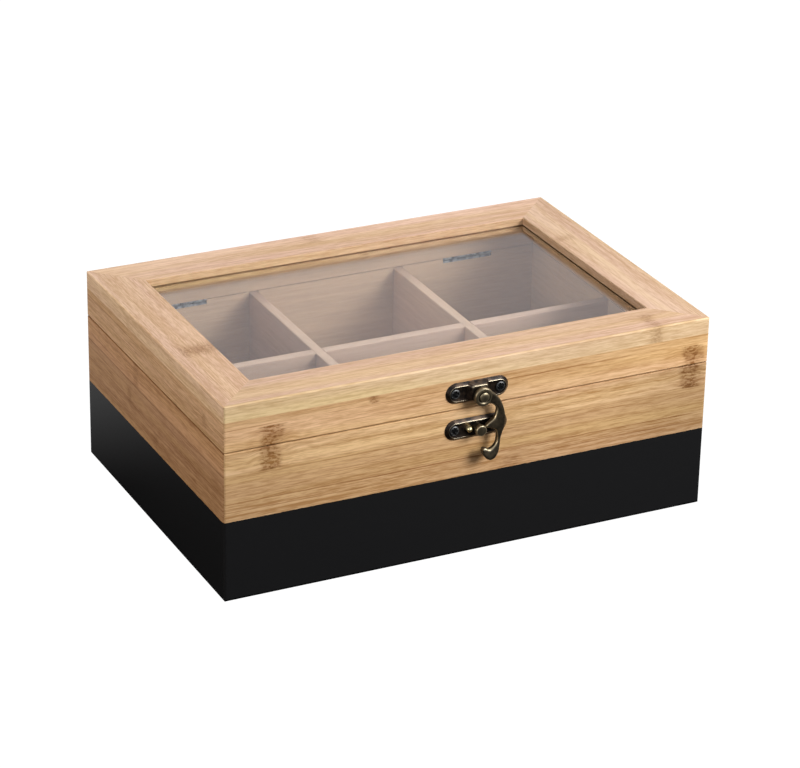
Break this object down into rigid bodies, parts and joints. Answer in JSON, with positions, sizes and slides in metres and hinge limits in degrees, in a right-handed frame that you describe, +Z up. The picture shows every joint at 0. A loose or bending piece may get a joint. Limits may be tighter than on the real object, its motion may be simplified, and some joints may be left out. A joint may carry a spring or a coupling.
{
  "type": "tea bag organizer box",
  "caption": "Wooden tea bag organizer box with crossed dividers, a hinged glass-windowed lid and a swinging hook latch on the front.",
  "frame": {"origin": "centre of the underside, on the flat rest face", "axes": "+X to the right seen from the front, +Y to the back, +Z up; the latch is on the -Y side"},
  "size_m": [0.28, 0.1989, 0.11],
  "materials": {
    "box_wood": "satin bamboo with satin black paint on the outside of its lower part",
    "lid_wood": "satin bamboo, grain along each board",
    "rail_wood": "satin bamboo, paler, grain along each rail",
    "divider_wood": "matt bamboo",
    "window_glass": "clear float glass",
    "hinge_steel": "plain rolled steel",
    "antique_bronze": "antique bronze plating, near black with bright worn edges",
    "bead_brass": "polished brass"
  },
  "bodies": {
    "base": {"front_wall": "box_wood", "right_wall": "box_wood", "back_wall": "box_wood", "left_wall": "box_wood", "bottom_panel": "divider_wood", "long_divider": "divider_wood", "cross_divider_left": "divider_wood", "cross_divider_right": "divider_wood", "hinge_base_leaf_left": "hinge_steel", "hinge_base_leaf_right": "hinge_steel", "hinge_pin_left": "hinge_steel", "hinge_pin_right": "hinge_steel", "hinge_base_screws": "hinge_steel", "catch_plate": "antique_bronze", "catch_post": "antique_bronze", "catch_bead": "bead_brass", "catch_screws": "antique_bronze"},
    "lid": {"lid_front_wall": "lid_wood", "lid_right_wall": "lid_wood", "lid_back_wall": "lid_wood", "lid_left_wall": "lid_wood", "lid_front_rail": "rail_wood", "lid_right_rail": "rail_wood", "lid_back_rail": "rail_wood", "lid_left_rail": "rail_wood", "window_pane": "window_glass", "hinge_lid_leaf_left": "hinge_steel", "hinge_lid_leaf_right": "hinge_steel", "hinge_lid_screws": "hinge_steel", "latch_plate": "antique_bronze", "latch_rivet": "antique_bronze", "latch_screws": "antique_bronze"},
    "hook": {"latch_hook": "antique_bronze"}
  },
  "joints": [
    {"name": "lid_hinge", "type": "hinge", "parent": "base", "child": "lid", "pos_m": [0, 0.09375, 0.0828], "axis": [-1, 0, 0], "range_deg": [0, 105]},
    {"name": "hook_swing", "type": "hinge", "parent": "lid", "child": "hook", "pos_m": [0.0024, -0.10065, 0.092], "axis": [0, -1, 0], "range_deg": [0, 180]}
  ]
}
